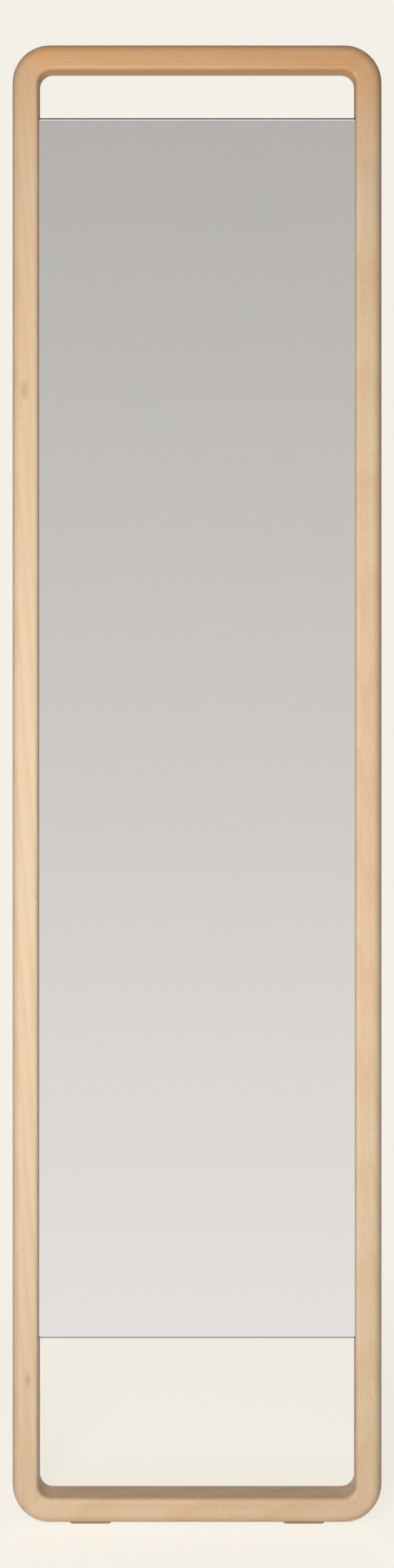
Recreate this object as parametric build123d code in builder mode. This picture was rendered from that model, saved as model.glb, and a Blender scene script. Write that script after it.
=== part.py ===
from build123d import *
from math import asin, cos, degrees, sin, sqrt
import os

# Floor mirror: a rounded, mitred wood frame that carries a sheet of silvered glass
# between its two stiles, with an open gap above and below the glass.
# Millimetres. X runs across the mirror, Z up. The mirror faces -Y.
# The origin is on the floor, in the middle of the width and of the depth.

os.makedirs("parts", exist_ok=True)

# Frame
frame_width = 450.0
frame_height = 1800.0
frame_depth = 32.0
member_width = 32.0
outer_corner_radius = 46.0
inner_corner_radius = 16.0
outer_rounding = 13.0
inner_rounding = 5.0
back_rounding = 3.0

# Open gaps between the glass and the rails
top_gap = 56.0
bottom_gap = 190.0

# Glass, tape and backing board, which lie behind the front lip of each stile
lip_depth = 12.0
glass_thickness = 5.0
glass_lap = 6.0
glass_clearance = 1.0
glass_arris = 1.2
tape_thickness = 1.5
tape_width = 25.0
tape_end_margin = 40.0
tape_count = 4
board_thickness = 6.0
board_lap = 17.0
board_clearance = 1.0
board_inset = 2.0

# Countersunk screws that hold the board in the stiles
board_screw_radius = 1.75
board_screw_length = 16.0
board_screw_head_radius = 3.4
board_screw_rows = 6
board_screw_end_margin = 45.0

# Loose tenons across the four mitres
tenon_width = 20.0
tenon_thickness = 8.0
tenon_length = 36.0
tenon_inward_shift = 2.0
tenon_side_clearance = 0.1
tenon_end_clearance = 1.0

# Folded strap hangers with a swinging ring, one on the back of each stile
strap_width = 12.0
strap_sheet = 0.9
strap_length = 28.0
strap_above_rebate = 4.0
ring_wire_radius = 1.25
ring_width = 19.5
ring_height = 15.75
ring_corner_radius = 3.0
ring_running_clearance = 0.08
ring_rest_gap = 0.3
hanger_screw_radius = 1.75
hanger_screw_length = 16.0
hanger_screw_head_radius = 3.0
hanger_screw_head_height = 1.8
hanger_screw_offsets = (8.0, 22.0)

# Rubber pads under the bottom rail and buffers behind the rails
pad_length = 50.0
pad_thickness = 1.5
pad_corner_radius = 4.0
pad_side_margin = 70.0
pad_front_inset = 8.0
pad_back_inset = 3.0
bumper_base_radius = 7.0
bumper_top_radius = 5.5
bumper_height = 6.0
bumper_rounding = 1.0
bumper_side_margin = 65.0

# Fits, screw points and the cross recess in each screw head
screw_clearance = 0.05
screw_tip_clearance = 0.5
screw_point_length = 3.5
recess_span = 3.6
recess_width = 0.9
recess_depth = 1.2

# Least flat that a rounding leaves, and how far a cut runs past the wood
least_flat = 0.5
cut_margin = 1.0

# Depth, from the front face to the buffers
total_depth = frame_depth + bumper_height
front_y = -total_depth / 2
back_y = front_y + frame_depth
glass_front_y = front_y + lip_depth
glass_back_y = glass_front_y + glass_thickness
ledge_y = glass_back_y + tape_thickness
board_back_y = ledge_y + board_thickness

# Heights
frame_bottom_z = pad_thickness
frame_top_z = frame_bottom_z + frame_height
frame_middle_z = frame_bottom_z + frame_height / 2
glass_bottom_z = frame_bottom_z + member_width + bottom_gap
glass_top_z = frame_top_z - member_width - top_gap
glass_height = glass_top_z - glass_bottom_z
glass_middle_z = (glass_bottom_z + glass_top_z) / 2
rebate_top_z = glass_top_z + glass_clearance
rebate_height = rebate_top_z - glass_bottom_z
rebate_middle_z = (glass_bottom_z + rebate_top_z) / 2

# Widths, measured from the middle of the mirror
half_width = frame_width / 2
sight_half = half_width - member_width
member_centre = half_width - member_width / 2
glass_half = sight_half + glass_lap - glass_clearance
board_half = sight_half + board_lap - board_clearance
board_screw_x = sight_half + (glass_lap + board_lap - board_clearance) / 2


def facing_front(y):
    """Plane at depth y, seen from the front: X to the right, Z up, normal to -Y."""
    return Plane.XZ.offset(-y)


def facing_back(y):
    """Plane at depth y, seen from behind: X to the left, Z up, normal to +Y."""
    return Plane(origin=(0, y, 0), x_dir=(-1, 0, 0), z_dir=(0, 1, 0))


def mitre_plane(side, end):
    """Plane of the mitre at a corner, with its normal towards the stile."""
    corner_z = frame_middle_z + end * frame_height / 2
    return Plane(
        origin=(side * half_width, (front_y + back_y) / 2, corner_z),
        z_dir=(side, 0, -end),
    )


def tenon_plane(side, end):
    """Plane on the mitre, centred on the tenon, with its X axis along the mitre."""
    outer_arc = outer_corner_radius * (sqrt(2) - 1)
    inner_arc = member_width * sqrt(2) + inner_corner_radius * (sqrt(2) - 1)
    from_corner = (outer_arc + inner_arc) / 2 + tenon_inward_shift
    step = from_corner / sqrt(2)
    corner_z = frame_middle_z + end * frame_height / 2
    return Plane(
        origin=(side * (half_width - step), (front_y + back_y) / 2, corner_z - end * step),
        x_dir=(side, 0, end),
        z_dir=(side, 0, -end),
    )


def save(builder, label):
    builder.part.label = label
    export_step(builder.part, f"parts/{label}.step")


def cut_cross_recess(top_z):
    """Cut the cross recess down into a screw head whose top is at top_z."""
    for turn in (0, 90):
        with Locations(Location((0, 0, top_z - recess_depth / 2), (0, 0, turn))):
            Box(recess_span, recess_width, recess_depth, mode=Mode.SUBTRACT)


sides = (("left", -1), ("right", 1))
ends = (("bottom", -1), ("top", 1))

# Whole frame before it is cut at the mitres, with its rounded corners and edges
inner_radius = min(inner_rounding, lip_depth - least_flat, member_width / 2 - least_flat)
outer_radius = min(
    outer_rounding,
    member_width - inner_radius - least_flat,
    outer_corner_radius - least_flat,
    frame_depth - least_flat,
)
back_radius = min(back_rounding, frame_depth - max(inner_radius, outer_radius) - least_flat)
with BuildPart() as frame_blank:
    with BuildSketch(facing_front(front_y)) as frame_outline:
        with Locations((0, frame_middle_z)):
            RectangleRounded(frame_width, frame_height, outer_corner_radius)
            RectangleRounded(
                2 * sight_half,
                frame_height - 2 * member_width,
                inner_corner_radius,
                mode=Mode.SUBTRACT,
            )
    extrude(amount=-frame_depth)
    front_face = frame_blank.faces().sort_by(Axis.Y)[0]
    outer_edges = front_face.outer_wire().edges()
    inner_edges = front_face.inner_wires()[0].edges()
    back_edges = frame_blank.edges().group_by(Axis.Y)[-1]
    fillet(outer_edges, radius=outer_radius)
    fillet(inner_edges, radius=inner_radius)
    fillet(back_edges, radius=back_radius)
    for _, side in sides:
        for _, end in ends:
            with BuildSketch(tenon_plane(side, end)) as mortise_outline:
                SlotOverall(
                    tenon_width + 2 * tenon_side_clearance,
                    tenon_thickness + 2 * tenon_side_clearance,
                )
            extrude(
                amount=tenon_length / 2 + tenon_end_clearance,
                both=True,
                mode=Mode.SUBTRACT,
            )

# Hanger geometry that the stiles, straps, rings and screws share
barrel_bore_radius = ring_wire_radius + ring_running_clearance
barrel_radius = barrel_bore_radius + strap_sheet
strap_thickness = 2 * strap_sheet
ring_axis_y = back_y + barrel_radius
ring_axis_z = rebate_top_z + strap_above_rebate + strap_length
ring_lean = asin((barrel_radius - ring_wire_radius - ring_rest_gap) / ring_height)
ring_fold = asin(
    (strap_thickness + ring_wire_radius + ring_rest_gap - barrel_radius) / ring_height
)
print("ring axis", round(ring_axis_y, 3), round(ring_axis_z, 3))
print("ring leans in", round(degrees(ring_lean), 2), "degrees at rest")
print("ring swings out", round(180 + degrees(ring_lean - ring_fold), 2), "degrees")

# Places of the board's screws on one stile, and of all of them
board_screw_span = glass_height - 2 * board_screw_end_margin
board_screw_heights = [
    glass_bottom_z + board_screw_end_margin + board_screw_span * row / (board_screw_rows - 1)
    for row in range(board_screw_rows)
]
board_screw_points = [
    (-side * board_screw_x, z) for _, side in sides for z in board_screw_heights
]
hanger_screw_heights = [ring_axis_z - offset for offset in hanger_screw_offsets]
board_pilot_depth = board_screw_length - board_thickness + screw_tip_clearance
hanger_pilot_depth = hanger_screw_length - strap_thickness + screw_tip_clearance

# Stiles: full section at both ends, a stepped rebate behind the lip along the glass
for name, side in sides:
    with BuildPart() as stile:
        add(frame_blank.part)
        split(bisect_by=mitre_plane(side, 1), keep=Keep.TOP)
        split(bisect_by=mitre_plane(side, -1), keep=Keep.TOP)
        split(bisect_by=Plane(origin=(0, 0, 0), z_dir=(side, 0, 0)), keep=Keep.TOP)
        for lap, step_y in ((glass_lap, glass_front_y), (board_lap, ledge_y)):
            with BuildSketch(facing_front(step_y)) as rebate_outline:
                with Locations((side * (sight_half + (lap - cut_margin) / 2), rebate_middle_z)):
                    Rectangle(lap + cut_margin, rebate_height)
            extrude(amount=-(back_y - step_y + cut_margin), mode=Mode.SUBTRACT)
        with Locations(facing_back(ledge_y)):
            with Locations([(-side * board_screw_x, z) for z in board_screw_heights]):
                Hole(board_screw_radius + screw_clearance, depth=board_pilot_depth)
        with Locations(facing_back(back_y)):
            with Locations([(-side * member_centre, z) for z in hanger_screw_heights]):
                Hole(hanger_screw_radius + screw_clearance, depth=hanger_pilot_depth)
    save(stile, f"{name}_stile")

# Rails: the parts of the frame between the mitres, above and below
for name, end in ends:
    with BuildPart() as rail:
        add(frame_blank.part)
        split(bisect_by=mitre_plane(-1, end), keep=Keep.BOTTOM)
        split(bisect_by=mitre_plane(1, end), keep=Keep.BOTTOM)
        split(
            bisect_by=Plane(origin=(0, 0, frame_middle_z), z_dir=(0, 0, end)),
            keep=Keep.TOP,
        )
    save(rail, f"{name}_rail")

# Loose tenons
for end_name, end in ends:
    for side_name, side in sides:
        with BuildPart() as tenon:
            with BuildSketch(tenon_plane(side, end)) as tenon_outline:
                SlotOverall(tenon_width, tenon_thickness)
            extrude(amount=tenon_length / 2, both=True)
        save(tenon, f"{end_name}_{side_name}_tenon")

# Mirror glass, with its arris ground all round on both faces
with BuildPart() as mirror_glass:
    with BuildSketch(facing_front(glass_front_y)) as glass_outline:
        with Locations((0, glass_middle_z)):
            Rectangle(2 * glass_half, glass_height)
    extrude(amount=-glass_thickness)
    chamfer(mirror_glass.edges().group_by(Axis.Y)[0], length=glass_arris)
    chamfer(mirror_glass.edges().group_by(Axis.Y)[-1], length=glass_arris / 2)
save(mirror_glass, "mirror_glass")

# Foam tape strips between the glass and the board
tape_pitch = 2 * sight_half / tape_count
for index in range(tape_count):
    tape_x = (index - (tape_count - 1) / 2) * tape_pitch
    with BuildPart() as tape:
        with BuildSketch(facing_front(glass_back_y)) as tape_outline:
            with Locations((tape_x, glass_middle_z)):
                Rectangle(tape_width, glass_height - 2 * tape_end_margin)
        extrude(amount=-tape_thickness)
    save(tape, f"mounting_tape_{index + 1}")

# Backing board, seated on the deeper rebate and countersunk for its screws
with BuildPart() as backing_board:
    with BuildSketch(facing_front(ledge_y)) as board_outline:
        with Locations((0, glass_middle_z)):
            Rectangle(2 * board_half, glass_height - 2 * board_inset)
    extrude(amount=-board_thickness)
    with Locations(facing_back(board_back_y)):
        with Locations(board_screw_points):
            CounterSinkHole(
                radius=board_screw_radius + screw_clearance,
                counter_sink_radius=board_screw_head_radius + screw_clearance,
                depth=board_thickness + cut_margin,
                counter_sink_angle=90,
            )
save(backing_board, "backing_board")

# One countersunk screw, head up at the origin, and the set that holds the board
with BuildPart() as countersunk_screw:
    head_height = board_screw_head_radius - board_screw_radius
    with BuildSketch(Plane.XZ) as countersunk_profile:
        with BuildLine():
            Polyline(
                (0, 0),
                (board_screw_head_radius, 0),
                (board_screw_radius, -head_height),
                (board_screw_radius, -board_screw_length + screw_point_length),
                (0, -board_screw_length),
                close=True,
            )
        make_face()
    revolve(axis=Axis.Z)
    cut_cross_recess(0)

with BuildPart() as board_screws:
    with Locations(facing_back(board_back_y)):
        with Locations(board_screw_points):
            add(countersunk_screw.part)
save(board_screws, "board_screws")

# Hanger straps: a strip folded round the ring's bar and screwed flat to the stile
for name, side in sides:
    with BuildPart() as strap:
        with BuildSketch(Plane.YZ.offset(side * member_centre - strap_width / 2)) as fold:
            with Locations((back_y + strap_thickness / 2, ring_axis_z - strap_length / 2)):
                Rectangle(strap_thickness, strap_length)
            with Locations((ring_axis_y, ring_axis_z)):
                Circle(barrel_radius)
                Circle(barrel_bore_radius, mode=Mode.SUBTRACT)
        extrude(amount=strap_width)
        fillet(
            strap.edges().filter_by(Axis.Y).group_by(Axis.Z)[0],
            radius=(strap_width - least_flat) / 2,
        )
        with Locations(facing_back(back_y + strap_thickness)):
            with Locations([(-side * member_centre, z) for z in hanger_screw_heights]):
                Hole(hanger_screw_radius + screw_clearance, depth=strap_thickness)
    save(strap, f"{name}_hanger_strap")

# Hanger rings: a D of round wire whose bar turns in the strap's fold.
# At rest each ring stands up from its bar and leans in on the stile.
# One half is swept from the middle of the bar to the crown, then mirrored.
half_ring = ring_width / 2
crown_start = ring_height - half_ring
for name, side in sides:
    ring_plane = Plane(
        origin=(side * member_centre, ring_axis_y, ring_axis_z),
        x_dir=(1, 0, 0),
        z_dir=(0, -cos(ring_lean), -sin(ring_lean)),
    )
    with BuildPart() as ring:
        with BuildLine(ring_plane) as half_path:
            FilletPolyline(
                (0, 0), (half_ring, 0), (half_ring, crown_start), radius=ring_corner_radius
            )
            ThreePointArc(
                (half_ring, crown_start),
                (half_ring / sqrt(2), crown_start + half_ring / sqrt(2)),
                (0, ring_height),
            )
        with BuildSketch(half_path.line ^ 0) as ring_section:
            Circle(ring_wire_radius)
        sweep(path=half_path.line)
        mirror(about=Plane.YZ.offset(side * member_centre))
    save(ring, f"{name}_hanger_ring")

# One pan-head screw, seat at the origin and head above it, and the hangers' set
with BuildPart() as pan_screw:
    with BuildSketch(Plane.XZ) as pan_profile:
        with BuildLine():
            Polyline(
                (0, hanger_screw_head_height),
                (hanger_screw_head_radius, hanger_screw_head_height),
                (hanger_screw_head_radius, 0),
                (hanger_screw_radius, 0),
                (hanger_screw_radius, -hanger_screw_length + screw_point_length),
                (0, -hanger_screw_length),
                close=True,
            )
        make_face()
    revolve(axis=Axis.Z)
    fillet(pan_screw.edges().group_by(Axis.Z)[-1], radius=hanger_screw_head_height / 2)
    cut_cross_recess(hanger_screw_head_height)

with BuildPart() as hanger_screws:
    with Locations(facing_back(back_y + strap_thickness)):
        with Locations(
            [(-side * member_centre, z) for _, side in sides for z in hanger_screw_heights]
        ):
            add(pan_screw.part)
save(hanger_screws, "hanger_screws")

# Floor pads on the underside of the bottom rail. They reach a little past its flat in
# front, so that the mirror's weight lies well inside their outline.
pad_x = half_width - pad_side_margin - pad_length / 2
pad_y = (front_y + pad_front_inset + back_y - pad_back_inset) / 2
pad_width = frame_depth - pad_front_inset - pad_back_inset
for name, side in sides:
    with BuildPart() as pad:
        with BuildSketch(Plane.XY) as pad_outline:
            with Locations((side * pad_x, pad_y)):
                RectangleRounded(pad_length, pad_width, pad_corner_radius)
        extrude(amount=pad_thickness)
    save(pad, f"{name}_floor_pad")

# Rubber buffers on the back of the rails, which keep the frame off the wall
bumper_x = half_width - bumper_side_margin
for end_name, end in ends:
    for side_name, side in sides:
        bumper_z = frame_middle_z + end * (frame_height / 2 - member_width / 2)
        with BuildPart() as bumper:
            with BuildSketch(facing_back(back_y)) as bumper_base:
                with Locations((-side * bumper_x, bumper_z)):
                    Circle(bumper_base_radius)
            with BuildSketch(facing_back(back_y + bumper_height)) as bumper_top:
                with Locations((-side * bumper_x, bumper_z)):
                    Circle(bumper_top_radius)
            loft()
            fillet(bumper.edges().group_by(Axis.Y)[-1], radius=bumper_rounding)
        save(bumper, f"{end_name}_{side_name}_bumper")
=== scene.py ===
# %% [markdown]
# A tall floor mirror. On the real object two upright stiles and two rails of solid beech
# are mitred at the corners, rounded all over and lacquered, and a long sheet of silvered
# glass sits between the stiles. The frame stays open above and below the glass.
# The solid model already has every piece at its true size and place, so this lesson starts
# from it, replaces the glass with a finer one, and spends its care on finishes and light.

# %% Load the solid model
import math

import bmesh
import bpy
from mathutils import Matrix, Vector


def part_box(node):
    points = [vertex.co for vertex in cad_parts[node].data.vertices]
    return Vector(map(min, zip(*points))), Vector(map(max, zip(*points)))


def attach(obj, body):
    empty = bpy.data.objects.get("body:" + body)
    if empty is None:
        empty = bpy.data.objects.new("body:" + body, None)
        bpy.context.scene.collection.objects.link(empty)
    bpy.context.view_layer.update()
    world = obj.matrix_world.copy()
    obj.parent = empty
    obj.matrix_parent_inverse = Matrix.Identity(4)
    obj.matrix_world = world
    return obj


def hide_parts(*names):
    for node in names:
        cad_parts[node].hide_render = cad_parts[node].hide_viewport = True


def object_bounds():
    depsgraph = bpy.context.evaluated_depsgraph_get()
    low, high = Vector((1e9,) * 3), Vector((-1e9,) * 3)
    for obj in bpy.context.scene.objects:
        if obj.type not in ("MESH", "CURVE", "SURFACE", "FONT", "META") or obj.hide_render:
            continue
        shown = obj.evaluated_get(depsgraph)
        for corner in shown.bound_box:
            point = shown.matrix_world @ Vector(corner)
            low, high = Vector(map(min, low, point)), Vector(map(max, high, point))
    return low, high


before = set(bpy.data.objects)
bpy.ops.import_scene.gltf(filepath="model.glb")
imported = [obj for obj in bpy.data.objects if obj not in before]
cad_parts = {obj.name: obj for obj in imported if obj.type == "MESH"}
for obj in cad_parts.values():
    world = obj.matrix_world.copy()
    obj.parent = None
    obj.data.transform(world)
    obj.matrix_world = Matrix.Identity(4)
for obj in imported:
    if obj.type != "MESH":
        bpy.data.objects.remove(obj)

cad_low, cad_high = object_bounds()
print("solid model", [round(size, 4) for size in cad_high - cad_low], "m")


# %% [markdown]
# The photograph was taken from straight in front. The underside of the top rail and the top
# of the bottom rail both show, so the lens was level with a point inside the frame, and how
# much of each shows gives its height and its distance. The picture's centre is lower than
# that point, as when a tall object is framed with a shifted lens, and so the uprights stay
# parallel.

# %% Camera
CAMERA_DISTANCE = 2.0
CAMERA_HEIGHT = 1.2015
FOCAL_PIXELS = 1901
PICTURE_HEIGHT = 1808
HORIZON_ROW = 619.5
SENSOR_LONG_SIDE = 36.0

camera_data = bpy.data.cameras.new("studio_camera")
camera_data.sensor_width = SENSOR_LONG_SIDE
camera_data.lens = SENSOR_LONG_SIDE * FOCAL_PIXELS / PICTURE_HEIGHT
camera_data.shift_y = (HORIZON_ROW - PICTURE_HEIGHT / 2) / PICTURE_HEIGHT
camera = bpy.data.objects.new("studio_camera", camera_data)
bpy.context.scene.collection.objects.link(camera)
camera.location = (0, cad_low.y - CAMERA_DISTANCE, CAMERA_HEIGHT)
camera.rotation_euler = (math.radians(90), 0, 0)
bpy.context.scene.camera = camera
bpy.context.scene.view_settings.view_transform = "Standard"
print("lens", round(camera_data.lens, 2), "mm, shift", round(camera_data.shift_y, 4))


# %% [markdown]
# Shaders work in linear light, while a colour picked from a screen is sRGB. The curve
# between them makes a mid grey on the screen only about a fifth as bright as white.

# %% Colours
def linear(hex_colour):
    """Linear red, green, blue and alpha of an sRGB hex colour."""
    channels = [int(hex_colour[at : at + 2], 16) / 255 for at in (1, 3, 5)]
    light = [c / 12.92 if c <= 0.04045 else ((c + 0.055) / 1.055) ** 2.4 for c in channels]
    return (*light, 1.0)


print("mid grey is", round(linear("#808080")[0], 3), "of white in linear light")


# %% [markdown]
# One function adds a node with its settings and links, so that each material below reads
# as a short recipe. Two more cover what most recipes repeat: a ramp of colours along a
# value, and a blend of two colours. The mix node has sockets for several kinds of data
# under the same names, so the colour ones are picked by number.

# %% Node helpers
MIX_FACTOR, MIX_A, MIX_B, MIX_RESULT = 0, 6, 7, 2


def add(tree, kind, sockets=None, **settings):
    """Add a node. sockets maps an input's name or number to a value or to an output."""
    made = tree.nodes.new(kind)
    for setting, value in settings.items():
        setattr(made, setting, value)
    for socket, value in (sockets or {}).items():
        if isinstance(value, bpy.types.NodeSocket):
            tree.links.new(value, made.inputs[socket])
        else:
            made.inputs[socket].default_value = value
    return made


def ramp(tree, factor, stops):
    """Add a colour ramp with stops of (position, hex colour)."""
    made = add(tree, "ShaderNodeValToRGB", {"Fac": factor})
    elements = made.color_ramp.elements
    while len(elements) < len(stops):
        elements.new(0.5)
    for element, (position, colour) in zip(elements, stops):
        element.position = position
        element.color = linear(colour)
    return made.outputs["Color"]


def blend(tree, share, under, over):
    """Lay one colour over another by a share between 0 and 1."""
    return add(tree, "ShaderNodeMix", {MIX_FACTOR: share, MIX_A: under, MIX_B: over},
               data_type="RGBA").outputs[MIX_RESULT]


def new_material(name):
    """An empty material and its node tree."""
    material = bpy.data.materials.new(name)
    material.use_nodes = True
    material.node_tree.nodes.clear()
    return material, material.node_tree


print("helpers ready:", add.__name__, ramp.__name__, blend.__name__, new_material.__name__)


# %% [markdown]
# A studio for a mirror needs two kinds of surroundings. What lights the wood should be soft
# and plain, and what the glass shows has to be chosen with care, because a clean mirror has
# no colour of its own. The real glass shows a room that is pale near the floor and grows
# greyer upwards. So the world gives one even tone to the camera, one to the light on rough
# surfaces, and a slow vertical change to mirror rays.

# %% World
BACKDROP = "#F4F0E7"
AMBIENT_COLOUR = "#FFEFDC"
AMBIENT_LEVEL = 0.08
STEEPEST_LOOK = -1.2
ROOM_TONES = {-1.2: "#FFFDFC", -0.6: "#F0EAE9", -0.319: "#DFDAD9", -0.129: "#D2CCCA", 0.06: "#C5C1BD",
              0.255: "#B7B3B1", 0.4: "#B0ACAA", 0.62: "#E4E0DC", 1.0: "#FFFDFA"}


def room_tone(tree, slope):
    """The colour that the glass shows for a line of sight with this rise over run."""
    position = add(tree, "ShaderNodeMapRange",
                   {"Value": slope, "From Min": STEEPEST_LOOK, "From Max": 1.0})
    stops = [((at - STEEPEST_LOOK) / (1 - STEEPEST_LOOK), tone) for at, tone in ROOM_TONES.items()]
    return ramp(tree, position.outputs[0], stops)


world = bpy.data.worlds.new("studio")
bpy.context.scene.world = world
world.use_nodes = True
sky = world.node_tree
sky.nodes.clear()
direction = add(sky, "ShaderNodeTexCoord").outputs["Generated"]
height = add(sky, "ShaderNodeSeparateXYZ", {"Vector": direction}).outputs["Z"]
ray = add(sky, "ShaderNodeLightPath").outputs
room = add(sky, "ShaderNodeBackground", {"Color": room_tone(sky, height)})
ambient = add(sky, "ShaderNodeBackground",
              {"Color": linear(AMBIENT_COLOUR), "Strength": AMBIENT_LEVEL})
backdrop = add(sky, "ShaderNodeBackground", {"Color": linear(BACKDROP)})
lit = add(sky, "ShaderNodeMixShader",
          {0: ray["Is Glossy Ray"], 1: ambient.outputs[0], 2: room.outputs[0]})
seen_directly = add(sky, "ShaderNodeMath",
                    {0: ray["Is Camera Ray"], 1: ray["Is Transmission Ray"]}, operation="MAXIMUM")
seen = add(sky, "ShaderNodeMixShader",
           {0: seen_directly.outputs[0], 1: lit.outputs[0], 2: backdrop.outputs[0]})
add(sky, "ShaderNodeOutputWorld", {"Surface": seen.outputs[0]})
print("world made with", len(sky.nodes), "nodes")


# %% [markdown]
# The floor is one wide pale sheet. Near the mirror part of its tone comes from real light,
# so the object keeps a soft shadow, and further off it fades into the backdrop's tone with
# no horizon. Only the lit share bounces back onto the wood, which keeps undersides dark. In
# the glass the floor has the same slow change as the room: its far end is grey and its near
# end pale. The tone follows how steeply the eye looks down at each strip of floor.

# %% Floor
FLOOR_SIZE = 40.0
LIT_SHARE = 0.4
LIGHT_ON_FLOOR = 0.4
SHADOW_NEAR, SHADOW_FAR = 0.3, 0.9

bpy.ops.object.select_all(action="DESELECT")
bpy.ops.mesh.primitive_plane_add(size=FLOOR_SIZE)
floor = bpy.context.active_object
floor.name = "studio_floor"

paper, tree = new_material("pale_paper_sweep")
place = add(tree, "ShaderNodeTexCoord").outputs["Object"]
ray = add(tree, "ShaderNodeLightPath").outputs
along = add(tree, "ShaderNodeSeparateXYZ", {"Vector": place}).outputs["Y"]
eye_behind = CAMERA_DISTANCE - cad_low.y + 2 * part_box("mirror_glass")[0].y
reach = add(tree, "ShaderNodeMath", {0: eye_behind, 1: along}, operation="SUBTRACT")
look = add(tree, "ShaderNodeMath", {0: -CAMERA_HEIGHT, 1: reach.outputs[0]}, operation="DIVIDE")
in_glass = add(tree, "ShaderNodeEmission", {"Color": room_tone(tree, look.outputs[0])})
away = add(tree, "ShaderNodeVectorMath", {0: place}, operation="LENGTH").outputs["Value"]
away = add(tree, "ShaderNodeMapRange",
           {"Value": away, "From Min": SHADOW_NEAR, "From Max": SHADOW_FAR},
           interpolation_type="SMOOTHSTEP")
plain = add(tree, "ShaderNodeEmission", {"Color": linear(BACKDROP)})
lit_colour = [channel * LIT_SHARE for channel in linear(BACKDROP)[:3]]
part_lit = add(tree, "ShaderNodeBsdfDiffuse", {"Color": (*lit_colour, 1.0)})
part_plain = add(tree, "ShaderNodeEmission",
                 {"Color": linear(BACKDROP), "Strength": 1 - LIT_SHARE * LIGHT_ON_FLOOR})
with_shadow = add(tree, "ShaderNodeAddShader", {0: part_lit.outputs[0], 1: part_plain.outputs[0]})
direct = add(tree, "ShaderNodeMixShader",
             {0: away.outputs[0], 1: with_shadow.outputs[0], 2: plain.outputs[0]})
seen_directly = add(tree, "ShaderNodeMath",
                    {0: ray["Is Camera Ray"], 1: ray["Is Transmission Ray"]}, operation="MAXIMUM")
rough = add(tree, "ShaderNodeMixShader",
            {0: seen_directly.outputs[0], 1: part_lit.outputs[0], 2: direct.outputs[0]})
full = add(tree, "ShaderNodeMixShader",
           {0: ray["Is Glossy Ray"], 1: rough.outputs[0], 2: in_glass.outputs[0]})
add(tree, "ShaderNodeOutputMaterial", {"Surface": full.outputs[0]})
floor.data.materials.append(paper)
print("eye behind the glass", round(eye_behind, 3), "m")


# %% [markdown]
# The wood is brightest where it faces the lens and falls off towards its edges, most on the
# right. A strip softbox as tall as the mirror, close in front and a little to the left, does
# that: it grazes the outer roundings and leaves the flats even. A low one lifts the bottom
# rail, which is the palest wood in the picture, and one behind keeps the back readable. None
# shows in the glass, as in a studio where the lamps stand outside the mirror's family of
# angles. Each lamp is written as where it stands, where it aims, its size and its power.

# %% Lamps
LAMPS = {
    "front_strip_softbox": ((-0.3, -1.35, 1.2), (-0.3, 0.0, 1.2), (0.6, 1.9), 12.3),
    "front_low_softbox": ((-0.4, -2.4, 0.5), (-0.1, 0.0, 0.1), (0.9, 0.5), 29.0),
    "rear_softbox": ((0.5, 8.0, 1.0), (0.0, 0.0, 0.9), (1.8, 2.2), 330.0),
}
for name, (stand, target, (width, tall), power) in LAMPS.items():
    lamp_data = bpy.data.lights.new(name, "AREA")
    lamp_data.shape = "RECTANGLE"
    lamp_data.size = width
    lamp_data.size_y = tall
    lamp_data.energy = power
    lamp = bpy.data.objects.new(name, lamp_data)
    bpy.context.scene.collection.objects.link(lamp)
    lamp.location = stand
    aim = [to - at for to, at in zip(target, stand)]
    heading = math.atan2(-aim[0], aim[1])
    pitch = math.atan2(aim[2], math.hypot(aim[0], aim[1]))
    lamp.rotation_euler = (math.radians(90) + pitch, 0, heading)
    lamp.visible_glossy = False
    lamp.visible_camera = False
    print(name, power, "W at", stand)


# %% [markdown]
# Beech is a pale, even wood. Three things make it beech and not paint: growth rings a few
# millimetres apart that run as long soft stripes down each member, a fibre too fine to
# count, and short reddish flecks where the rays of the wood are cut. All three stretch
# along the grain, so the pattern's space is turned until its Z runs along the member and is
# then squeezed along Z. Rings are real cylinders round a pith that lies outside the member,
# which gives stripes on every face that agree at the edges.

# %% Grain and growth rings
RING_SPACING = 0.0042
RING_WANDER = 3.0
RING_STRENGTH = 0.3
GRAIN_STRETCH = 0.035
FLECK_STRETCH = 0.22


def grain_space(tree, place, grain_turn, pith, stretch):
    """The object's space, turned and squeezed along one member's grain."""
    turned = add(tree, "ShaderNodeMapping",
                 {"Vector": place, "Rotation": (0, grain_turn, 0)}).outputs[0]
    return add(tree, "ShaderNodeMapping",
               {"Vector": turned, "Location": pith, "Scale": (1, 1, stretch)}).outputs[0]


def growth_rings(tree, long_grain):
    """How much late wood shows: a share that peaks once in each ring."""
    wander = add(tree, "ShaderNodeTexNoise",
                 {"Vector": long_grain, "Scale": 22.0, "Detail": 2.0})
    from_pith = add(tree, "ShaderNodeVectorMath", {0: long_grain},
                    operation="LENGTH").outputs["Value"]
    rings = add(tree, "ShaderNodeMath", {0: from_pith, 1: 1 / RING_SPACING},
                operation="MULTIPLY")
    rings = add(tree, "ShaderNodeMath",
                {0: wander.outputs["Fac"], 1: RING_WANDER, 2: rings.outputs[0]},
                operation="MULTIPLY_ADD")
    rings = add(tree, "ShaderNodeMath", {0: rings.outputs[0]}, operation="FRACT")
    late_wood = ramp(tree, rings.outputs[0],
                     [(0.0, "#000000"), (0.35, "#303030"), (0.86, "#FFFFFF"), (1.0, "#000000")])
    share = add(tree, "ShaderNodeMath", {0: late_wood, 1: RING_STRENGTH}, operation="MULTIPLY")
    return share.outputs[0]


print("growth rings every", round(RING_SPACING * 1000, 1), "mm")


# %% [markdown]
# Two things belong to single members. A pin knot is a small round patch of the fleck's
# colour that spreads along the grain. And the stiles drift to a warmer tone over their top
# part, so that they meet the warmer top rail in front with no step at the mitre.

# %% Knots and the drift of tone
TONE_DRIFT_START = 1.62
KNOT_STRENGTH = 0.55
KNOT_SPREAD = (1, 0, 0.4)


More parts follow.
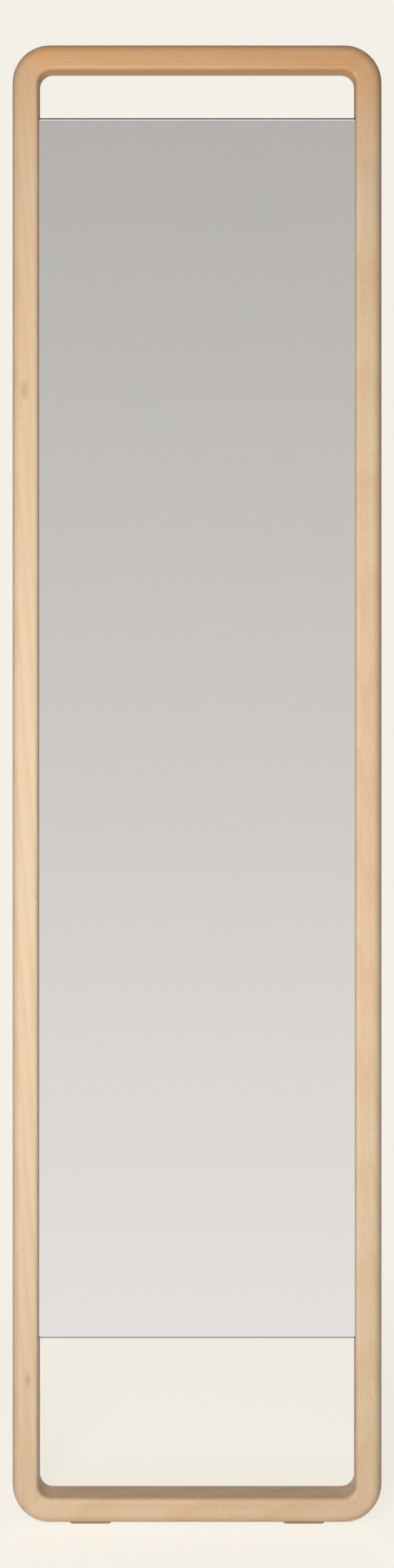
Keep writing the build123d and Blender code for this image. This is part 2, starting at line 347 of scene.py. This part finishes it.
def drift_to_top(tree, place, body, top_tone):
    """Turn a body colour into another towards the top of the frame."""
    up = add(tree, "ShaderNodeSeparateXYZ", {"Vector": place}).outputs["Z"]
    towards_top = add(tree, "ShaderNodeMapRange",
                      {"Value": up, "From Min": TONE_DRIFT_START, "From Max": cad_high.z},
                      interpolation_type="SMOOTHSTEP")
    return blend(tree, towards_top.outputs[0], body, linear(top_tone))


def add_knot(tree, place, body, colour, centre, radius):
    """Lay one pin knot over a body colour."""
    off = add(tree, "ShaderNodeVectorMath", {0: place, 1: centre}, operation="SUBTRACT")
    off = add(tree, "ShaderNodeMapping", {"Vector": off.outputs[0], "Scale": KNOT_SPREAD})
    off = add(tree, "ShaderNodeVectorMath", {0: off.outputs[0]}, operation="LENGTH")
    share = add(tree, "ShaderNodeMapRange",
                {"Value": off.outputs["Value"], "From Min": radius, "From Max": 0.0,
                 "To Max": KNOT_STRENGTH}, interpolation_type="SMOOTHSTEP")
    return blend(tree, share.outputs[0], body, linear(colour))


print("tone drifts from", TONE_DRIFT_START, "m up to", round(cad_high.z, 3), "m")


# %% [markdown]
# The rest is one recipe: a body that drifts between a pale and a warm tone, then rings,
# fibre, flecks and knots over it. The lacquer is thin and satin: a broad soft sheen of
# roughness about 0.4, weaker than on a film of full thickness, so the roundings keep their
# warm colour as they turn away.

# %% Lacquered beech
FIBRE_SPACING = 0.0016
FIBRE_DEPTH = 0.00006
FLECK_WIDTH = 0.0011
THIN_FILM_SPECULAR = 0.2


def lacquered_beech(name, grain_turn, pith, tones, knots=(), top_tone=None):
    """Beech for one member. tones are its pale, warm, ring and fleck colours."""
    material, tree = new_material(name)
    pale, warm, ring_colour, fleck_colour = tones
    place = add(tree, "ShaderNodeTexCoord").outputs["Object"]
    long_grain = grain_space(tree, place, grain_turn, pith, GRAIN_STRETCH)
    short_grain = grain_space(tree, place, grain_turn, pith, FLECK_STRETCH)
    drift = add(tree, "ShaderNodeTexNoise",
                {"Vector": long_grain, "Scale": 70.0, "Detail": 1.0})
    fibre = add(tree, "ShaderNodeTexNoise",
                {"Vector": long_grain, "Scale": 1 / FIBRE_SPACING, "Detail": 3.0,
                 "Roughness": 0.65})
    fleck = add(tree, "ShaderNodeTexNoise",
                {"Vector": short_grain, "Scale": 1 / FLECK_WIDTH, "Detail": 1.0})

    warmth = add(tree, "ShaderNodeMapRange",
                 {"Value": drift.outputs["Fac"], "From Min": 0.35, "From Max": 0.65})
    body = blend(tree, warmth.outputs[0], linear(pale), linear(warm))
    if top_tone:
        body = drift_to_top(tree, place, body, top_tone)
    body = blend(tree, growth_rings(tree, long_grain), body, linear(ring_colour))
    fibre_share = add(tree, "ShaderNodeMapRange",
                      {"Value": fibre.outputs["Fac"], "From Min": 0.3, "From Max": 0.75,
                       "To Min": 0.0, "To Max": 0.22})
    body = blend(tree, fibre_share.outputs[0], body, linear(ring_colour))
    fleck_share = add(tree, "ShaderNodeMapRange",
                      {"Value": fleck.outputs["Fac"], "From Min": 0.62, "From Max": 0.74,
                       "To Min": 0.0, "To Max": 0.35})
    body = blend(tree, fleck_share.outputs[0], body, linear(fleck_colour))
    for centre, radius in knots:
        body = add_knot(tree, place, body, fleck_colour, centre, radius)

    sheen = add(tree, "ShaderNodeMapRange",
                {"Value": fibre.outputs["Fac"], "To Min": 0.36, "To Max": 0.48})
    relief = add(tree, "ShaderNodeBump",
                 {"Height": fibre.outputs["Fac"], "Strength": 0.35, "Distance": FIBRE_DEPTH})
    shader = add(tree, "ShaderNodeBsdfPrincipled",
                 {"Base Color": body, "Roughness": sheen.outputs[0], "IOR": 1.5,
                  "Specular IOR Level": THIN_FILM_SPECULAR, "Normal": relief.outputs[0]})
    add(tree, "ShaderNodeOutputMaterial", {"Surface": shader.outputs[0]})
    return material


print("fibres", round(FIBRE_SPACING * 1000, 1), "mm apart")


# %% [markdown]
# Each member is cut from its own place in a board, so each has its own pith and tones. The
# grain runs up the stiles and across the rails. The top rail is the warmest of the four.

# %% The four members
STILE_TURN, RAIL_TURN = 0.0, math.radians(90)
members = {
    "left_stile": lacquered_beech(
        "lacquered_beech_left_stile", STILE_TURN, (0.31, 0.14, 0.2),
        ("#EBD2B2", "#E9C8A6", "#D9B48C", "#BE9270"),
        [((-0.2048, 0, 0.1788), 0.006), ((-0.209, 0, 1.380), 0.007)], "#E6BC8E"),
    "right_stile": lacquered_beech(
        "lacquered_beech_right_stile", STILE_TURN, (-0.10, 0.17, 0.9),
        ("#EFD6B6", "#EDCBA6", "#DDB88E", "#C09472"), (), "#EBB886"),
    "top_rail": lacquered_beech(
        "lacquered_beech_top_rail", RAIL_TURN, (1.65, 0.12, 0.4),
        ("#EDBF8E", "#E9B482", "#D9A06C", "#BC8458")),
    "bottom_rail": lacquered_beech(
        "lacquered_beech_bottom_rail", RAIL_TURN, (0.13, 0.10, 1.3),
        ("#EFD2B0", "#EDCAA6", "#DDB58E", "#C09272")),
}
print("beech made for", ", ".join(members))


# %% [markdown]
# A mirror is float glass with silver on its back, so almost all the light comes back
# unchanged. A metal with no roughness shows that well, and a trace of green grey stands for
# the light that passes twice through the glass. Float glass is never perfectly flat, so a
# wave far longer than it is deep moves what the mirror shows by a hair.

# %% Silvered glass
WAVE_LENGTH = 0.18

silvering, tree = new_material("silver_behind_float_glass")
place = add(tree, "ShaderNodeTexCoord").outputs["Object"]
wave = add(tree, "ShaderNodeTexNoise",
           {"Vector": place, "Scale": 1 / WAVE_LENGTH, "Detail": 0.0})
haze = add(tree, "ShaderNodeTexNoise", {"Vector": place, "Scale": 9.0, "Detail": 3.0})
tint = add(tree, "ShaderNodeMapRange", {"Value": haze.outputs["Fac"]})
tint = ramp(tree, tint.outputs[0], [(0.3, "#F9FBF9"), (0.7, "#FAFBFA")])
relief = add(tree, "ShaderNodeBump",
             {"Height": wave.outputs["Fac"], "Strength": 0.1, "Distance": 0.00002})
shader = add(tree, "ShaderNodeBsdfPrincipled",
             {"Base Color": tint, "Metallic": 1.0, "Roughness": 0.0,
              "Normal": relief.outputs[0]})
add(tree, "ShaderNodeOutputMaterial", {"Surface": shader.outputs[0]})
print("glass waves", round(WAVE_LENGTH * 1000), "mm long")


# %% [markdown]
# The ground edge is different: there one looks through the bevel at the dark edge sealer.
# The back of the silver is covered by a grey paint that was poured on as a curtain.

# %% Glass edge and backing paint
sealed_edge, tree = new_material("sealed_glass_edge")
place = add(tree, "ShaderNodeTexCoord").outputs["Object"]
streak = add(tree, "ShaderNodeMapping", {"Vector": place, "Scale": (8, 400, 400)})
streak = add(tree, "ShaderNodeTexNoise", {"Vector": streak.outputs[0], "Scale": 1.0})
tone = ramp(tree, streak.outputs["Fac"], [(0.3, "#2E3331"), (0.7, "#414845")])
shader = add(tree, "ShaderNodeBsdfPrincipled",
             {"Base Color": tone, "Roughness": 0.12, "IOR": 1.52})
add(tree, "ShaderNodeOutputMaterial", {"Surface": shader.outputs[0]})

backing_paint, tree = new_material("mirror_backing_paint")
place = add(tree, "ShaderNodeTexCoord").outputs["Object"]
curtain = add(tree, "ShaderNodeTexNoise", {"Vector": place, "Scale": 60.0, "Detail": 4.0})
tone = ramp(tree, curtain.outputs["Fac"], [(0.35, "#6E7673"), (0.65, "#7C8480")])
shader = add(tree, "ShaderNodeBsdfPrincipled", {"Base Color": tone, "Roughness": 0.55})
add(tree, "ShaderNodeOutputMaterial", {"Surface": shader.outputs[0]})
print("made", silvering.name, sealed_edge.name, "and", backing_paint.name)


# %% [markdown]
# The pane is cut from a 5 mm sheet and its edge is ground and polished in two steps: a bevel
# at the outside and a narrow softer facet inside it, which catches a bright line of light.
# It starts as a block that is thinner than the sheet by what the facets will add.

# %% Pane blank
BEVEL_WIDTH, BEVEL_RISE = 0.0020, 0.0016
FACET_WIDTH, FACET_RISE = 0.0014, 0.0004
BACK_BEVEL = 0.0006

low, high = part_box("mirror_glass")
block_front = low.y + BEVEL_RISE + FACET_RISE
block_back = high.y - BACK_BEVEL
bpy.ops.object.select_all(action="DESELECT")
bpy.ops.mesh.primitive_cube_add(
    size=1, location=((low.x + high.x) / 2, (block_front + block_back) / 2, (low.z + high.z) / 2))
pane = bpy.context.active_object
pane.name = "mirror_pane"
pane.dimensions = (high.x - low.x, block_back - block_front, high.z - low.z)
bpy.ops.object.transform_apply(location=True, rotation=False, scale=True)
print("blank", [round(side, 4) for side in pane.dimensions], "m")


# %% [markdown]
# Two insets that also rise give both facets from one block, with their corners mitred as
# a grinding machine leaves them. A third inset on the back breaks that edge. Each inset
# works on the outermost face in front or behind, which is found by its normal and place.

# %% Grind the facets
Y_AXIS, TO_FRONT, TO_BACK = 1, -1, 1
SAME_WAY = 0.999
SAME_PLACE = 1e-6


def select_facing(obj, axis, sign):
    """In edit mode, select only the outermost flat face that points along an axis."""
    mesh = bmesh.from_edit_mesh(obj.data)
    facing = [f for f in mesh.faces if f.normal[axis] * sign > SAME_WAY]
    outermost = max(f.calc_center_median()[axis] * sign for f in facing)
    for face in mesh.faces:
        face.select_set(False)
    for face in facing:
        face.select_set(face.calc_center_median()[axis] * sign > outermost - SAME_PLACE)
    mesh.select_flush_mode()
    bmesh.update_edit_mesh(obj.data)


bpy.ops.object.mode_set(mode="EDIT")
bpy.ops.mesh.select_mode(type="FACE")
select_facing(pane, Y_AXIS, TO_FRONT)
bpy.ops.mesh.inset(thickness=BEVEL_WIDTH, depth=BEVEL_RISE, use_even_offset=True)
select_facing(pane, Y_AXIS, TO_FRONT)
bpy.ops.mesh.inset(thickness=FACET_WIDTH, depth=FACET_RISE, use_even_offset=True)
select_facing(pane, Y_AXIS, TO_BACK)
bpy.ops.mesh.inset(thickness=BACK_BEVEL, depth=BACK_BEVEL, use_even_offset=True)
bpy.ops.object.mode_set(mode="OBJECT")
print("pane now has", len(pane.data.polygons), "faces")


# %% [markdown]
# Each face gets its finish from how far it turns to the front: the front and its flat
# facet are silvered, the back is painted, and what slopes or stands between is edge.

# %% Finish the pane
SILVER, EDGE, PAINT = 0, 1, 2
SILVER_TILT, PAINT_TILT = 0.9, -0.5

for finish in (silvering, sealed_edge, backing_paint):
    pane.data.materials.append(finish)
for face in pane.data.polygons:
    edge_tilt = -face.normal.y
    if edge_tilt > SILVER_TILT:
        face.material_index = SILVER
    elif edge_tilt < PAINT_TILT:
        face.material_index = PAINT
    else:
        face.material_index = EDGE
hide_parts("mirror_glass")
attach(pane, "frame")
print("pane", [round(side, 4) for side in pane.dimensions], len(pane.data.polygons), "faces")


# %% [markdown]
# The back is plain workshop material. Birch plywood has a calm face veneer and shows its
# layers only at the edge, so the layers are drawn where the surface doesn't face the wall.

# %% Birch plywood
PLY = 0.0012

birch, tree = new_material("sanded_birch_plywood")
place = add(tree, "ShaderNodeTexCoord").outputs["Object"]
grain = add(tree, "ShaderNodeMapping", {"Vector": place, "Scale": (1, 1, 0.06)})
wander = add(tree, "ShaderNodeTexNoise",
             {"Vector": grain.outputs[0], "Scale": 16.0, "Detail": 3.0, "Distortion": 0.6})
figure = add(tree, "ShaderNodeMath", {0: wander.outputs["Fac"], 1: 9.0}, operation="MULTIPLY")
figure = add(tree, "ShaderNodeMath", {0: figure.outputs[0]}, operation="FRACT")
face_tone = ramp(tree, figure.outputs[0],
                 [(0.0, "#D9BE92"), (0.6, "#D2B385"), (0.92, "#C5A273"), (1.0, "#D9BE92")])
fibre = add(tree, "ShaderNodeTexNoise", {"Vector": grain.outputs[0], "Scale": 700.0})
face_tone = blend(tree, fibre.outputs["Fac"], face_tone, linear("#CDAE80"))
depth = add(tree, "ShaderNodeSeparateXYZ", {"Vector": place}).outputs["Y"]
layer = add(tree, "ShaderNodeMath", {0: depth, 1: 0.5 / PLY}, operation="MULTIPLY")
layer = add(tree, "ShaderNodeMath", {0: layer.outputs[0]}, operation="FRACT")
edge_tone = ramp(tree, layer.outputs[0],
                 [(0.0, "#D6B98A"), (0.46, "#CFAF7E"), (0.5, "#7A573A"), (0.54, "#A87F57"),
                  (0.96, "#9E754E"), (1.0, "#7A573A")])
normal = add(tree, "ShaderNodeNewGeometry").outputs["Normal"]
facing = add(tree, "ShaderNodeSeparateXYZ", {"Vector": normal}).outputs["Y"]
facing = add(tree, "ShaderNodeMath", {0: facing}, operation="ABSOLUTE")
tone = blend(tree, facing.outputs[0], edge_tone, face_tone)
relief = add(tree, "ShaderNodeBump",
             {"Height": fibre.outputs["Fac"], "Strength": 0.3, "Distance": 0.00005})
shader = add(tree, "ShaderNodeBsdfPrincipled",
             {"Base Color": tone, "Roughness": 0.7, "Normal": relief.outputs[0]})
add(tree, "ShaderNodeOutputMaterial", {"Surface": shader.outputs[0]})
print("plywood of", round(PLY * 1000, 1), "mm plies")


# %% [markdown]
# The tenons are the same beech, planed and left bare. Nobody sees them once the mitres are
# closed, but a part that is taken apart should show wood there.

# %% Planed beech
tenon_beech, tree = new_material("planed_beech")
place = add(tree, "ShaderNodeTexCoord").outputs["Object"]
grain = add(tree, "ShaderNodeMapping", {"Vector": place, "Scale": (0.1, 1, 1)})
fibre = add(tree, "ShaderNodeTexNoise", {"Vector": grain.outputs[0], "Scale": 500.0})
tone = ramp(tree, fibre.outputs["Fac"], [(0.3, "#D9B78C"), (0.7, "#C89E74")])
shader = add(tree, "ShaderNodeBsdfPrincipled", {"Base Color": tone, "Roughness": 0.75})
add(tree, "ShaderNodeOutputMaterial", {"Surface": shader.outputs[0]})
print("made", tenon_beech.name)


# %% [markdown]
# Mounting tape is closed-cell foam. Its cut edge shows pores about half a millimetre wide.

# %% Foam tape
PORE = 0.0005

foam, tree = new_material("closed_cell_foam_tape")
place = add(tree, "ShaderNodeTexCoord").outputs["Object"]
pores = add(tree, "ShaderNodeTexVoronoi", {"Vector": place, "Scale": 1 / PORE})
tone = ramp(tree, pores.outputs["Distance"], [(0.1, "#BFBDB8"), (0.6, "#E2E0DB")])
relief = add(tree, "ShaderNodeBump",
             {"Height": pores.outputs["Distance"], "Strength": 0.6, "Distance": 0.0002})
shader = add(tree, "ShaderNodeBsdfPrincipled",
             {"Base Color": tone, "Roughness": 0.9, "Normal": relief.outputs[0]})
add(tree, "ShaderNodeOutputMaterial", {"Surface": shader.outputs[0]})
print("foam pores", round(PORE * 1000, 1), "mm wide")


# %% [markdown]
# Screws, straps and rings are steel with bright zinc plate. The plate is a metal with a
# slightly blue tone that clouds where it was handled, so its colour and its roughness both
# drift a little over a few millimetres.

# %% Zinc-plated steel
zinc, tree = new_material("bright_zinc_plated_steel")
place = add(tree, "ShaderNodeTexCoord").outputs["Object"]
cloud = add(tree, "ShaderNodeTexNoise", {"Vector": place, "Scale": 260.0, "Detail": 3.0})
tone = ramp(tree, cloud.outputs["Fac"], [(0.3, "#C3C7CA"), (0.7, "#D6D5CF")])
gloss = add(tree, "ShaderNodeMapRange",
            {"Value": cloud.outputs["Fac"], "To Min": 0.22, "To Max": 0.42})
shader = add(tree, "ShaderNodeBsdfPrincipled",
             {"Base Color": tone, "Metallic": 1.0, "Roughness": gloss.outputs[0]})
add(tree, "ShaderNodeOutputMaterial", {"Surface": shader.outputs[0]})
print("made", zinc.name)


# %% [markdown]
# Pads and buffers are moulded from natural rubber, which leaves no marks on a floor or a
# wall: tan, dull, with a fine tooth from the mould.

# %% Moulded rubber
TOOTH = 0.0008

rubber, tree = new_material("moulded_rubber")
place = add(tree, "ShaderNodeTexCoord").outputs["Object"]
tooth = add(tree, "ShaderNodeTexNoise", {"Vector": place, "Scale": 1 / TOOTH, "Detail": 2.0})
tone = ramp(tree, tooth.outputs["Fac"], [(0.3, "#B39C80"), (0.7, "#C2AB8E")])
relief = add(tree, "ShaderNodeBump",
             {"Height": tooth.outputs["Fac"], "Strength": 0.4, "Distance": 0.0001})
shader = add(tree, "ShaderNodeBsdfPrincipled",
             {"Base Color": tone, "Roughness": 0.72, "Normal": relief.outputs[0]})
add(tree, "ShaderNodeOutputMaterial", {"Surface": shader.outputs[0]})
print("rubber tooth", round(TOOTH * 1000, 1), "mm wide")


# %% [markdown]
# Each solid keeps its own shape and gets its finish by name.

# %% Dress the solids
FINISHES = {
    "tenon": tenon_beech,
    "tape": foam,
    "board_screws": zinc,
    "hanger": zinc,
    "backing_board": birch,
    "pad": rubber,
    "bumper": rubber,
}
for name, node_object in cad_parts.items():
    finish = members.get(name) or next(
        (made for word, made in FINISHES.items() if word in name), silvering)
    if not node_object.material_slots:
        node_object.data.materials.append(finish)
    for material_slot in node_object.material_slots:
        material_slot.material = finish
    print(name, "is", finish.name)
